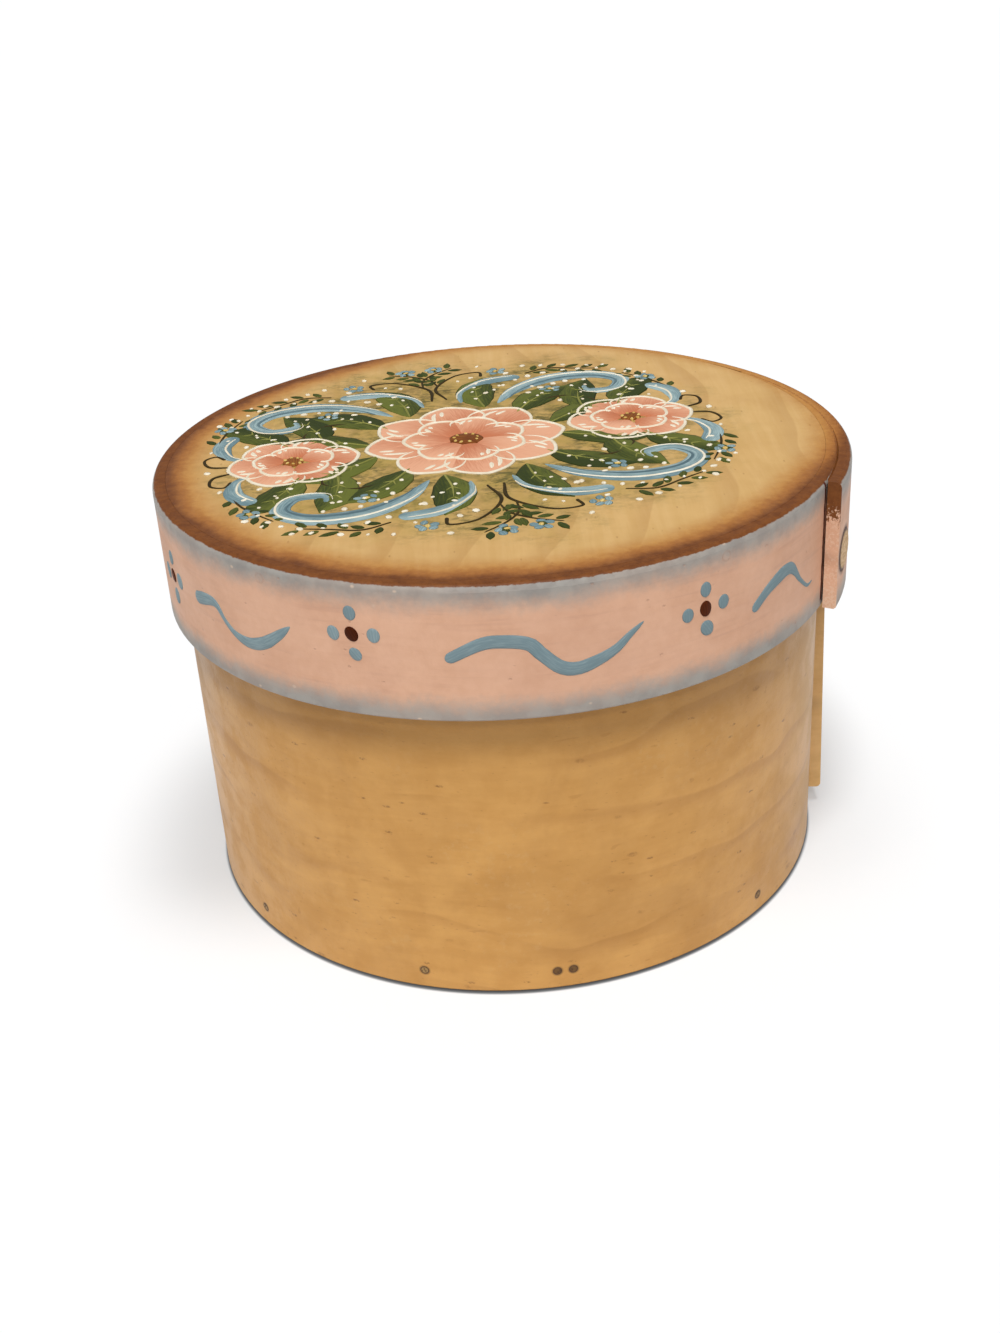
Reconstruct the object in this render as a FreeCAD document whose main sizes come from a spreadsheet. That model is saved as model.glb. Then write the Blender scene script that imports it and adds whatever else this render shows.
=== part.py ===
import FreeCAD, Part
import os
import Sketcher

# Round bentwood box with a lift-off lid. Both walls are thin wooden strips bent into
# a hoop, with their ends scarfed, lapped and pegged. A turned board closes each hoop
# and is held by small brads. Units are millimetres and degrees. The origin is the
# centre of the foot, +Z points up through the lid, and azimuths turn from +X to +Y.

doc = FreeCAD.newDocument("RoundBentwoodBox")

# Driving sizes

sizes = {
    # walls and boards
    "bodyRadius": 80.0,            # outside of the body hoop
    "bodyHeight": 100.8,           # foot to rim of the body hoop
    "bandThickness": 3.2,          # bent strip, both hoops
    "bottomBoardThickness": 11.0,
    "lidBoardThickness": 6.4,
    "lidRimDepth": 31.5,
    "lidClearance": 0.5,           # gap all round between the lid and the body
    "boardClearance": 0.05,        # gap all round between a board and its hoop
    # edges
    "lidTopRound": 1.5,
    "lidFootEdge": 0.5,            # the sharp edges are eased by chamfers this wide
    "lidLeadIn": 0.8,              # chamfer inside the mouth of the lid
    "rimEdge": 0.6,
    "footEdge": 0.8,
    "boardEdge": 0.4,
    # laps
    "scarfTip": 0.4,               # what is left of the strip at its feathered end
    "glueLine": 0.1,               # gap between the two layers of a lap
    "lapRunout": 14.0,             # degrees past the feathered end until the hoop is plain
    "lidLapEnd": 332.0,            # azimuth of the blunt end
    "lidLapSpan": 60.0,
    "lidLapLift": 0.5,             # how far the blunt end has sprung off the hoop
    "bodyLapEnd": 354.0,
    "bodyLapSpan": 50.0,
    "bodyLapLift": 0.6,            # at the foot of the tongue, closed at its top
    "tongueFoot": 5.8,             # the tongue starts this far above the foot
    "tongueClearance": 0.5,        # and stops this far below the lid
    "tongueProudFoot": 3.7,        # how far its blunt end stands off the hoop
    "tongueProudTop": 2.3,
    "tongueRound": 1.2,
    # lap pegs
    "pegRadius": 5.3,
    "pegClearance": 0.05,
    "pegRound": 0.9,               # width of the worn edge round the peg's face
    "pegCrown": 0.3,               # and its depth
    "pegEndSetback": 6.3,          # from the blunt end of the lap to the peg's centre
    "lidPegRise": 12.7,            # above the lower edge of the lid
    "bodyPegDrop": 15.0,           # below the top of the tongue
    "bodyPegRise": 26.0,           # above the foot of the tongue
    # brads
    "bradWidth": 1.3,              # square shank, under the head
    "bradTip": 0.5,                # and at the point
    "bradLength": 16.0,
    "bradClearance": 0.03,
    "bradHeadRadius": 1.1,
    "bradHeadThickness": 0.5,
    "bradHeadSides": 12,           # the small heads are snipped and filed round
}

# The first five bottom brads are unevenly spaced, with one pair close together.
bottom_brad_azimuths = (216.6, 252.6, 275.1, 277.8, 316.6, 70.0, 118.0, 166.0)
lid_brad_azimuths = (304.0, 232.0, 160.0, 88.0)

for number, azimuth in enumerate(bottom_brad_azimuths, 1):
    sizes["bottomBradAzimuth" + str(number)] = azimuth
for number, azimuth in enumerate(lid_brad_azimuths, 1):
    sizes["lidBradAzimuth" + str(number)] = azimuth

sheet = doc.addObject("Spreadsheet::Sheet", "Sizes")
for row, (name, value) in enumerate(sizes.items(), 1):
    sheet.set("A" + str(row), name)
    sheet.set("B" + str(row), str(value))
    sheet.setAlias("B" + str(row), name)
doc.recompute()


def cell(name):
    return "Sizes." + name


# Sizes that follow from the driving ones, as formulas of the sheet

body_outer = cell("bodyRadius")
body_inner = "(Sizes.bodyRadius - Sizes.bandThickness)"
lid_inner = "(Sizes.bodyRadius + Sizes.lidClearance)"
lid_outer = f"({lid_inner} + Sizes.bandThickness)"
lid_top = "(Sizes.bodyHeight + Sizes.lidBoardThickness)"
lid_foot = f"({lid_top} - Sizes.lidRimDepth)"
tongue_top = f"({lid_foot} - Sizes.tongueClearance)"
past = "(4 * Sizes.bandThickness)"    # how far a cutting solid runs past what it cuts


# Building blocks

def bind(item, formulas):
    for field, formula in formulas.items():
        item.setExpression(field, formula)
    return item


def primitive(kind, name, turn=None, **formulas):
    item = doc.addObject("Part::" + kind, name)
    x, y, z = [formulas.pop(axis, "0") for axis in ("x", "y", "z")]
    bind(item, formulas)
    bind(item, {"Placement.Base.x": x, "Placement.Base.y": y, "Placement.Base.z": z})
    if turn:
        item.Placement = FreeCAD.Placement(FreeCAD.Vector(), FreeCAD.Rotation(FreeCAD.Vector(0, 0, 1), 90))
        item.setExpression("Placement.Rotation.Angle", turn)
    return item


def cut(name, base, tool):
    item = doc.addObject("Part::Cut", name)
    item.Base = base
    item.Tool = tool
    return item


def merge(name, pieces):
    item = doc.addObject("Part::MultiFuse", name)
    item.Shapes = pieces
    item.Refine = True
    return item


def common(name, pieces):
    item = doc.addObject("Part::MultiCommon", name)
    item.Shapes = pieces
    return item


def ease_rim(kind, name, base, at_top, width):
    """Rounds or chamfers the upper or lower circle of an upright round solid."""
    doc.recompute()
    middle = base.Shape.BoundBox.Center.z
    item = doc.addObject("Part::" + kind, name)
    item.Base = base
    item.Edges = [(number, sizes[width], sizes[width]) for number, edge in enumerate(base.Shape.Edges, 1)
                  if edge.Closed and (edge.CenterOfMass.z > middle) == at_top]
    return item


def plane(body, role):
    return [feature for feature in body.Origin.OriginFeatures if feature.Role == role][0]


def sketch_on(body, role, name):
    sketch = body.newObject("Sketcher::SketchObject", name)
    sketch.AttachmentSupport = (plane(body, role), [""])
    sketch.MapMode = "FlatFace"
    return sketch


def turned_pin(name, profile, azimuth, height):
    """A round pin that lies along +X, turned to its azimuth and lifted to its height.

    The profile lists the distance from the box's axis and the radius at each corner,
    from the inner end to the outer one, as formulas. A radius of None is the pin's axis.
    """
    body = doc.addObject("PartDesign::Body", name)
    sketch = sketch_on(body, "XZ_Plane", name + "Profile")
    doc.recompute()
    # a rough outline far from the axis, which the constraints then pull to size
    guess = [(100 + 5 * step, 0 if radius is None else 2 + step) for step, (_, radius) in enumerate(profile)]
    for start, end in zip(guess, guess[1:] + guess[:1]):
        sketch.addGeometry(Part.LineSegment(FreeCAD.Vector(*start, 0), FreeCAD.Vector(*end, 0)), False)
    for line in range(len(profile)):
        sketch.addConstraint(Sketcher.Constraint("Coincident", line, 2, (line + 1) % len(profile), 1))
    for line, (distance, radius) in enumerate(profile):
        across = sketch.addConstraint(Sketcher.Constraint("DistanceX", -1, 1, line, 1, guess[line][0]))
        sketch.setExpression("Constraints[" + str(across) + "]", distance)
        if radius is None:
            sketch.addConstraint(Sketcher.Constraint("PointOnObject", line, 1, -1))
        else:
            up = sketch.addConstraint(Sketcher.Constraint("DistanceY", -1, 1, line, 1, guess[line][1]))
            sketch.setExpression("Constraints[" + str(up) + "]", radius)
    turning = body.newObject("PartDesign::Revolution", name + "Turning")
    turning.Profile = sketch
    turning.ReferenceAxis = (sketch, ["H_Axis"])
    turning.Angle = 360
    body.Tip = turning
    body.Placement = FreeCAD.Placement(FreeCAD.Vector(), FreeCAD.Rotation(FreeCAD.Vector(0, 0, 1), 90))
    bind(body, {"Placement.Rotation.Angle": azimuth, "Placement.Base.z": height})
    return body


def scarf(kind, name, lap_end, lap_span, end_radius, tip_radius, **formulas):
    """A solid of revolution set off the box's axis, for the sloping faces of a lap.

    Seen from above it is a circle whose distance from the box's axis is end_radius at
    the lap's blunt end and tip_radius at the feathered end, and falls evenly between.
    """
    half = f"({lap_span} / 2)"
    shift = f"(({end_radius} - {tip_radius}) / (2 * sin({half})))"
    middle = f"(({end_radius} + {tip_radius}) / 2)"
    toward = f"({lap_end} + {half} - 90)"
    radius = f"sqrt(pow({middle}; 2) + pow({shift} * cos({half}); 2))"
    radii = {"Radius": radius}
    if kind == "Cone":
        narrowing = formulas.pop("narrowing")
        radii = {"Radius1": f"{radius} + {narrowing}", "Radius2": radius}
    return primitive(kind, name, x=f"{shift} * cos({toward})", y=f"{shift} * sin({toward})", **radii, **formulas)


def lapped_band(name, outside, bore, lap_end, lap_span, under_face, over_inside, over_outside, low, tall):
    """Joins a hoop to its lap: the feathered layer inside, the blunt layer outside.

    Between low and low + tall the hoop is opened over the lap. The inner layer lies
    inside under_face, and the outer one between over_inside and over_outside.
    """
    reach = f"(Sizes.bodyRadius + 2 * {past})"
    window = primitive("Cylinder", name + "Window", turn=lap_end, z=low, Radius=reach, Height=tall,
                       Angle=f"{lap_span} + Sizes.lapRunout")
    under_sector = primitive("Cylinder", name + "UnderSector", turn=lap_end, z=low, Radius=reach, Height=tall,
                             Angle=lap_span)
    hoop = cut(name + "Hoop", outside, bore)
    plain = cut(name + "Plain", hoop, window)
    under_solid = common(name + "UnderSolid", [under_face, outside, under_sector])
    under = cut(name + "Under", under_solid, bore)
    over_solid = merge(name + "OverSolid", [over_outside, outside])
    over_hollow = merge(name + "OverHollow", [over_inside, bore])
    over_wall = cut(name + "OverWall", over_solid, over_hollow)
    over = common(name + "Over", [over_wall, window])
    return merge(name + "Band", [plain, under, over])


def board(name, radius, thickness, height):
    """A turned disc with its lower edge eased."""
    body = doc.addObject("PartDesign::Body", name)
    sketch = sketch_on(body, "XY_Plane", name + "Outline")
    sketch.addGeometry(Part.Circle(FreeCAD.Vector(), FreeCAD.Vector(0, 0, 1), 50), False)
    sketch.addConstraint(Sketcher.Constraint("Coincident", 0, 3, -1, 1))
    size = sketch.addConstraint(Sketcher.Constraint("Radius", 0, 50))
    sketch.setExpression("Constraints[" + str(size) + "]", radius)
    disc = body.newObject("PartDesign::Pad", name + "Disc")
    disc.Profile = sketch
    disc.setExpression("Length", thickness)
    doc.recompute()
    eased = body.newObject("PartDesign::Chamfer", name + "Eased")
    rims = ["Edge" + str(number) for number, edge in enumerate(disc.Shape.Edges, 1)
            if edge.Closed and edge.CenterOfMass.z < disc.Shape.CenterOfMass.z]
    eased.Base = (disc, rims)
    eased.setExpression("Size", cell("boardEdge"))
    body.Tip = eased
    body.setExpression("Placement.Base.z", height)
    return body


def brad(name, face, gap, head_top):
    """A cut brad lying along +X: a square shank that narrows to its point, and a small head.

    Its face lies at the given distance from the box's axis, and gap is added all round.
    """
    length = f"(Sizes.bradLength - Sizes.bradHeadThickness + {gap})"
    root = f"(Sizes.bradWidth / 2 + {gap})"
    point = f"(Sizes.bradTip / 2 + {gap})"
    under_head = f"({face} - Sizes.bradHeadThickness)"
    shank = doc.addObject("Part::Wedge", name + "Shank")
    bind(shank, {"Xmin": f"-{root}", "Xmax": root, "Zmin": f"-{root}", "Zmax": root, "Ymax": length,
                 "X2min": f"-{point}", "X2max": point, "Z2min": f"-{point}", "Z2max": point})
    shank.Placement = FreeCAD.Placement(FreeCAD.Vector(), FreeCAD.Rotation(FreeCAD.Vector(0, 0, 1), 90))
    shank.setExpression("Placement.Base.x", f"{under_head} - {gap}")
    head = doc.addObject("Part::Prism", name + "Head")
    bind(head, {"Polygon": cell("bradHeadSides"), "Circumradius": f"Sizes.bradHeadRadius + {gap}",
                "Height": f"{head_top} - {under_head} + {gap}"})
    head.Placement = FreeCAD.Placement(FreeCAD.Vector(), FreeCAD.Rotation(FreeCAD.Vector(0, 1, 0), 90))
    head.setExpression("Placement.Base.x", f"{under_head} - {gap}")
    return merge(name, [shank, head])


def brads(name, azimuth_cells, face, height):
    """Brads driven in through a hoop, heads set flush with its face, and their holes."""
    patterns = [("Brad", brad(name + "BradPattern", face, "0", face)),
                ("Hole", brad(name + "HolePattern", face, cell("bradClearance"), f"({face} + {past})"))]
    placed = {"Brad": [], "Hole": []}
    for number, azimuth in enumerate(azimuth_cells, 1):
        for kind, pattern in patterns:
            copy = doc.addObject("Part::Compound", name + kind + str(number))
            copy.Links = [pattern]
            copy.Placement = FreeCAD.Placement(FreeCAD.Vector(), FreeCAD.Rotation(FreeCAD.Vector(0, 0, 1), 90))
            bind(copy, {"Placement.Rotation.Angle": azimuth, "Placement.Base.z": height})
            placed[kind].append(copy)
    group = doc.addObject("Part::Compound", name + "Group")
    group.Links = placed["Brad"]
    return group, placed["Hole"]


def lap_peg(name, lap_end, wall, face, height):
    """A round peg through both layers of a lap, set back from the blunt end, and its hole."""
    turn = f"({lap_end} + Sizes.pegEndSetback / {face} * 180 / pi)"
    radius = cell("pegRadius")
    hole = f"({radius} + Sizes.pegClearance)"
    seat = f"({wall} + Sizes.pegClearance)"
    shoulder = f"({face} - Sizes.pegCrown)"
    body = turned_pin(name, [(seat, None), (seat, radius), (shoulder, radius),
                             (face, f"({radius} - Sizes.pegRound)"), (face, None)], turn, height)
    hole_profile = [(f"({wall} - {past})", None), (f"({wall} - {past})", hole),
                    (f"({face} + {past})", hole), (f"({face} + {past})", None)]
    return body, turned_pin(name + "Hole", hole_profile, turn, height)


# Body hoop, with its lap standing proud as a tongue between the foot and the lid

body_height = cell("bodyHeight")
body_lap_end = cell("bodyLapEnd")
body_lap_span = cell("bodyLapSpan")
tongue_height = f"({tongue_top} - Sizes.tongueFoot)"
tongue_lean = "(Sizes.tongueProudFoot - Sizes.tongueProudTop)"

body_stock = primitive("Cylinder", "BodyBlank", Radius=body_outer, Height=body_height)
body_footed = ease_rim("Chamfer", "BodyFoot", body_stock, False, "footEdge")
body_outside = ease_rim("Chamfer", "BodyOutside", body_footed, True, "rimEdge")
body_bore = primitive("Cylinder", "BodyBore", z=f"-{past}", Radius=body_inner, Height=f"{body_height} + 2 * {past}")
body_under_face = scarf("Cylinder", "BodyUnderFace", body_lap_end, body_lap_span,
                        body_outer, f"({body_inner} + Sizes.scarfTip)", Height=body_height)
body_over_inside = scarf("Cone", "BodyOverInside", body_lap_end, body_lap_span,
                         f"({body_outer} + Sizes.glueLine)", f"({body_inner} + Sizes.scarfTip + Sizes.glueLine)",
                         narrowing="(Sizes.bodyLapLift - Sizes.glueLine)",
                         z=cell("tongueFoot"), Height=tongue_height)
tongue_stock = scarf("Cone", "TongueBlank", body_lap_end, body_lap_span,
                     f"({body_outer} + Sizes.tongueProudTop)", f"({body_outer} + Sizes.scarfTip + Sizes.glueLine)",
                     narrowing=tongue_lean, z=cell("tongueFoot"), Height=tongue_height)
tongue_footed = ease_rim("Fillet", "TongueFoot", tongue_stock, False, "tongueRound")
body_over_outside = ease_rim("Chamfer", "TongueOutside", tongue_footed, True, "rimEdge")
body_blank = lapped_band("Body", body_outside, body_bore, body_lap_end, body_lap_span,
                         body_under_face, body_over_inside, body_over_outside,
                         cell("tongueFoot"), tongue_height)

# Lid hoop, lapped over its whole depth

lid_depth = cell("lidRimDepth")
lid_lap_end = cell("lidLapEnd")
lid_lap_span = cell("lidLapSpan")
lid_end_face = f"({lid_outer} + Sizes.lidLapLift + Sizes.bandThickness)"

lid_stock = primitive("Cylinder", "LidBlank", z=lid_foot, Radius=lid_outer, Height=lid_depth)
lid_footed = ease_rim("Chamfer", "LidFoot", lid_stock, False, "lidFootEdge")
lid_outside = ease_rim("Fillet", "LidOutside", lid_footed, True, "lidTopRound")
lid_bore = primitive("Cylinder", "LidBore", z=f"{lid_foot} - {past}", Radius=lid_inner,
                     Height=f"{lid_depth} + 2 * {past}")
lid_under_face = scarf("Cylinder", "LidUnderFace", lid_lap_end, lid_lap_span,
                       lid_outer, f"({lid_inner} + Sizes.scarfTip)", z=lid_foot, Height=lid_depth)
lid_over_inside = scarf("Cylinder", "LidOverInside", lid_lap_end, lid_lap_span,
                        f"({lid_outer} + Sizes.lidLapLift)", f"({lid_inner} + Sizes.scarfTip + Sizes.glueLine)",
                        z=f"{lid_foot} - {past}", Height=f"{lid_depth} + 2 * {past}")
lid_over_stock = scarf("Cylinder", "LidOverBlank", lid_lap_end, lid_lap_span,
                       lid_end_face, f"({lid_outer} + Sizes.scarfTip + Sizes.glueLine)",
                       z=lid_foot, Height=lid_depth)
lid_over_footed = ease_rim("Chamfer", "LidOverFoot", lid_over_stock, False, "lidFootEdge")
lid_over_outside = ease_rim("Fillet", "LidOverOutside", lid_over_footed, True, "lidTopRound")
lid_blank = lapped_band("Lid", lid_outside, lid_bore, lid_lap_end, lid_lap_span,
                        lid_under_face, lid_over_inside, lid_over_outside,
                        f"{lid_foot} - {past}", f"{lid_depth} + 2 * {past}")
lid_mouth = primitive("Cone", "LidMouth", z=lid_foot, Radius1=f"{lid_inner} + Sizes.lidLeadIn", Radius2=lid_inner,
                      Height=cell("lidLeadIn"))

# Boards

bottom_disc = board("BottomDisc", f"{body_inner} - Sizes.boardClearance", cell("bottomBoardThickness"), "0")
lid_disc = board("LidDisc", f"{lid_inner} - Sizes.boardClearance", cell("lidBoardThickness"), body_height)

# Pegs and brads

lid_peg, lid_peg_hole = lap_peg("LidPeg", lid_lap_end, lid_inner, lid_end_face, f"{lid_foot} + Sizes.lidPegRise")
upper_peg_face = f"({body_outer} + Sizes.tongueProudTop + {tongue_lean} * Sizes.bodyPegDrop / {tongue_height})"
lower_peg_face = f"({body_outer} + Sizes.tongueProudFoot - {tongue_lean} * Sizes.bodyPegRise / {tongue_height})"
upper_peg, upper_peg_hole = lap_peg("UpperPeg", body_lap_end, body_inner, upper_peg_face,
                                    f"{tongue_top} - Sizes.bodyPegDrop")
lower_peg, lower_peg_hole = lap_peg("LowerPeg", body_lap_end, body_inner, lower_peg_face,
                                    "Sizes.tongueFoot + Sizes.bodyPegRise")
bottom_azimuths = [cell("bottomBradAzimuth" + str(number)) for number in range(1, len(bottom_brad_azimuths) + 1)]
lid_azimuths = [cell("lidBradAzimuth" + str(number)) for number in range(1, len(lid_brad_azimuths) + 1)]
bottom_brads, bottom_holes = brads("Bottom", bottom_azimuths, body_outer, "Sizes.bottomBoardThickness / 2")
lid_brads, lid_holes = brads("Lid", lid_azimuths, lid_outer, f"{lid_top} - Sizes.lidBoardThickness / 2")

# Holes for the pegs and brads

bottom_hole_tool = merge("BottomHoleTool", bottom_holes)
lid_hole_tool = merge("LidHoleTool", lid_holes)
body_band = cut("BodyDrilled", body_blank, merge("BodyTool", bottom_holes + [upper_peg_hole, lower_peg_hole]))
lid_band = cut("LidDrilled", lid_blank, merge("LidTool", lid_holes + [lid_peg_hole, lid_mouth]))
bottom_board = cut("BottomDrilled", bottom_disc, bottom_hole_tool)
lid_board = cut("LidBoardDrilled", lid_disc, lid_hole_tool)

nodes = {
    "body_band": body_band,
    "bottom_board": bottom_board,
    "bottom_brads": bottom_brads,
    "body_lap_peg_upper": upper_peg,
    "body_lap_peg_lower": lower_peg,
    "lid_band": lid_band,
    "lid_board": lid_board,
    "lid_brads": lid_brads,
    "lid_lap_peg": lid_peg,
}
for label, item in nodes.items():
    item.Label = label
doc.recompute()

# Nothing is written unless every object was built and every piece is sound.

for item in doc.Objects:
    if "Invalid" in item.State or "Error" in item.State:
        raise RuntimeError(item.Name + " failed: " + str(item.State))
solid_counts = {"bottom_brads": len(bottom_brad_azimuths), "lid_brads": len(lid_brad_azimuths)}
for label, item in nodes.items():
    shape = item.Shape
    if shape.isNull() or not shape.isValid():
        raise RuntimeError(label + " is not a sound solid")
    if len(shape.Solids) != solid_counts.get(label, 1):
        raise RuntimeError(label + " has " + str(len(shape.Solids)) + " solids")

os.makedirs("parts", exist_ok=True)
for label, item in nodes.items():
    item.Shape.exportStep("parts/" + label + ".step")
    box = item.Shape.BoundBox
    print(f"{label}: {item.Shape.Volume / 1000:.2f} cm3, x {box.XMin:.2f} to {box.XMax:.2f},"
          f" y {box.YMin:.2f} to {box.YMax:.2f}, z {box.ZMin:.2f} to {box.ZMax:.2f}")
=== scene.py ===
import math

import bpy
import numpy as np
from mathutils import Matrix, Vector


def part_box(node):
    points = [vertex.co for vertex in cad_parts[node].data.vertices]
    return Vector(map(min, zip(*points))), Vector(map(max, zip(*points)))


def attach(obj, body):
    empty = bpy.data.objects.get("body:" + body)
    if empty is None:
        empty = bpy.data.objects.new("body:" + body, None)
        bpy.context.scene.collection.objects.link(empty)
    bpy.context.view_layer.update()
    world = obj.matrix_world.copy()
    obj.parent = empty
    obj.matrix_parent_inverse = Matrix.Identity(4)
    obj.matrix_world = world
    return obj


# Round bentwood box with a painted lid, seen from the front and a little above.
# Lengths are millimetres and angles degrees until a mesh or a lamp is made.
# Azimuth 0 points along +X, -90 towards the camera.

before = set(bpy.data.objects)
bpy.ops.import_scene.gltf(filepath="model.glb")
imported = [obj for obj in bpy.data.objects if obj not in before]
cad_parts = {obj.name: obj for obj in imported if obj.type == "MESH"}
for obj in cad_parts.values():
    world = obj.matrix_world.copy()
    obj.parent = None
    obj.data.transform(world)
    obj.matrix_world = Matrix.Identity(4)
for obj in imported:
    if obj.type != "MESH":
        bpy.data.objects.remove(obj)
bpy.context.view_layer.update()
scene = bpy.context.scene


def boxOf(part):
    low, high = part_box(part)
    return np.array(low) * 1000, np.array(high) * 1000


def wallPoints(part):
    # the node's corners as azimuth, distance from the box's axis and height
    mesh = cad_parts[part].data
    corners = np.empty(len(mesh.vertices) * 3)
    mesh.vertices.foreach_get("co", corners)
    x, y, z = corners.reshape(-1, 3).T * 1000
    return np.degrees(np.arctan2(y, x)), np.hypot(x, y), z


def hoopSizes(part):
    # outer radius on the left, where a hoop has no lap, its bore, and the azimuth of the lap's blunt end
    azimuth, radius, _ = wallPoints(part)
    return radius[np.abs(azimuth) > 90].max(), radius.min(), azimuth[radius.argmax()]


rimFoot, rimTop = (corner[2] for corner in boxOf("lid_band"))
boardTop = boxOf("lid_board")[1][2]
rimRadius, rimBore, lapEnd = hoopSizes("lid_band")
bodyRadius, bodyBore, tongueEnd = hoopSizes("body_band")
print("frame loaded, rim radius", round(rimRadius, 2), "body radius", round(bodyRadius, 2))


# Shader wiring

def tone(chart):
    # a colour read off a chart, 0 to 255, made linear for the shaders
    chart = np.array(chart) / 255
    return (*np.where(chart <= 0.04045, chart / 12.92, ((chart + 0.055) / 1.055) ** 2.4).tolist(), 1.0)


def feed(target, value):
    # a socket is wired, anything else is written on the target itself
    if isinstance(value, bpy.types.NodeSocket):
        target.id_data.links.new(value, target)
    else:
        target.default_value = value


def feedAll(sockets, **values):
    # each value goes to the socket of its name, where _ stands for a blank
    for name, value in values.items():
        feed(sockets[name.replace("_", " ")], value)


def treeOf(*values):
    # the node tree of the first socket among some values
    return next(value.id_data for value in values if isinstance(value, bpy.types.NodeSocket))


def addNode(tree, kind, settings=None, **sockets):
    node = tree.nodes.new("ShaderNode" + kind)
    for name, value in (settings or {}).items():
        setattr(node, name, value)
    feedAll(node.inputs, **sockets)
    return node


def calc(operation, *values, kind="Math", result=0):
    node = addNode(treeOf(*values), kind, {"operation": operation})
    for place, value in enumerate(values):
        feed(node.inputs[place], value)
    return node.outputs[result]


def times(first, *others):
    for other in others:
        first = calc("MULTIPLY", first, other)
    return first


def plus(first, *others):
    for other in others:
        first = calc("ADD", first, other)
    return first


def minus(first, second):
    return calc("SUBTRACT", first, second)


def larger(first, second):
    return calc("MAXIMUM", first, second)


def weighed(first, share, second):
    # share * first + (1 - share) * second
    return calc("MULTIPLY_ADD", first, share, times(second, 1 - share))


def apart(first, second):
    return calc("ABSOLUTE", minus(first, second))


def sawtooth(value, length):
    # climbs from 0 to 1 over each length, and drops back
    return calc("FRACT", calc("DIVIDE", value, length))


def fade(value, start, end, low=0.0, high=1.0):
    # eases from low at start to high at end, and stays there beyond
    return addNode(value.id_data, "MapRange", {"interpolation_type": "SMOOTHSTEP"}, Value=value,
                   From_Min=start, From_Max=end, To_Min=low, To_Max=high).outputs[0]


def between(value, start, full, past, end):
    # rises from start to full and falls again from past to end
    return times(fade(value, start, full), fade(value, end, past))


def moved(place, offset):
    return calc("ADD", place, offset, kind="VectorMath")


def stretched(place, factors):
    return calc("MULTIPLY", place, factors, kind="VectorMath")


def lengthOf(vector):
    return calc("LENGTH", vector, kind="VectorMath", result=1)


def splitPlace(place):
    return addNode(place.id_data, "SeparateXYZ", None, Vector=place).outputs


def noise(place, scale, detail=2.0, roughness=0.5, distortion=0.0):
    return addNode(place.id_data, "TexNoise", None, Vector=place, Scale=scale, Detail=detail,
                   Roughness=roughness, Distortion=distortion).outputs[0]


def sway(place, amount, scale, detail=2.0, roughness=0.5):
    # noise about zero: amount * (noise - 0.5)
    return times(minus(noise(place, scale, detail, roughness), 0.5), amount)


def blend(amount, first, second, mode="MIX"):
    # the two colours are sockets or chart values
    node = addNode(treeOf(amount, first, second), "Mix", {"data_type": "RGBA", "blend_type": mode})
    feed(node.inputs[0], amount)
    for place, colour in ((6, first), (7, second)):
        feed(node.inputs[place], tone(colour) if isinstance(colour, tuple) else colour)
    return node.outputs[2]


def lay(colour, mask, layer):
    # one more layer of a finish: its colour, at its strength, wherever the mask is 1
    return blend(times(mask, layer[1]), colour, layer[0])


def startGroup(name, takes, *gives):
    # takes has each input's first value, gives the names of the outputs
    group = bpy.data.node_groups.new(name, "ShaderNodeTree")
    for label, value in {"Position": (0, 0, 0), **takes}.items():
        kind = "Vector" if isinstance(value, tuple) else "Float"
        socket = group.interface.new_socket(name=label, in_out="INPUT", socket_type="NodeSocket" + kind)
        socket.default_value = value
    for label in gives:
        kind = "Color" if label == "Color" else "Float"
        group.interface.new_socket(name=label, in_out="OUTPUT", socket_type="NodeSocket" + kind)
    inputs = group.nodes.new("NodeGroupInput").outputs
    return group, inputs["Position"], inputs, group.nodes.new("NodeGroupOutput").inputs


def useGroup(group, place, **sockets):
    return addNode(place.id_data, "Group", {"node_tree": group}, Position=place, **sockets).outputs


def startMaterial(name):
    material = bpy.data.materials.new(name)
    material.use_nodes = True
    tree = material.node_tree
    tree.nodes.clear()
    skin = tree.nodes.new("ShaderNodeBsdfPrincipled")
    tree.links.new(skin.outputs[0], tree.nodes.new("ShaderNodeOutputMaterial").inputs[0])
    return material, tree, skin.inputs


def millimetres(tree):
    return stretched(addNode(tree, "TexCoord").outputs["Object"], (1000, 1000, 1000))


def relief(height, depth):
    # height from 0 to 1 stands for depth millimetres
    return addNode(height.id_data, "Bump", None, Strength=1.0, Distance=depth / 1000,
                   Height=height).outputs[0]


# Effects shared by the finishes

def makeHoopPlace():
    # distance from the box's axis, azimuth in degrees and height
    group, place, _, gives = startGroup("hoopPlace", {}, "Radius", "Azimuth", "Height")
    parts = splitPlace(place)
    azimuth = calc("DEGREES", calc("ARCTAN2", parts["Y"], parts["X"]))
    radius = lengthOf(stretched(place, (1, 1, 0)))
    feedAll(gives, Radius=radius, Azimuth=azimuth, Height=parts["Z"])
    return group


def makeWoodFibre():
    # noise drawn out along the grain: lines that wander a little, slow drift of colour, short dark pores
    group, place, takes, gives = startGroup("woodFibre", {"Stretch": (0.02, 0.02, 0.5), "Wander": 3.0},
                                            "Lines", "Drift", "Pores")
    bend = sway(place, takes["Wander"], 0.022, 1.0)
    shift = addNode(group, "CombineXYZ", None, X=bend, Y=0.0, Z=bend).outputs[0]
    drawn = stretched(moved(place, shift), takes["Stretch"])
    fine = noise(moved(drawn, (31, 17, 5)), 3.1, 1.0, 0.4)
    feedAll(gives, Lines=noise(drawn, 1.0, 5.0, 0.62), Pores=fade(fine, 0.69, 0.76),
            Drift=noise(drawn, 0.22, 2.0, 0.5, 0.6))
    return group


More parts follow.
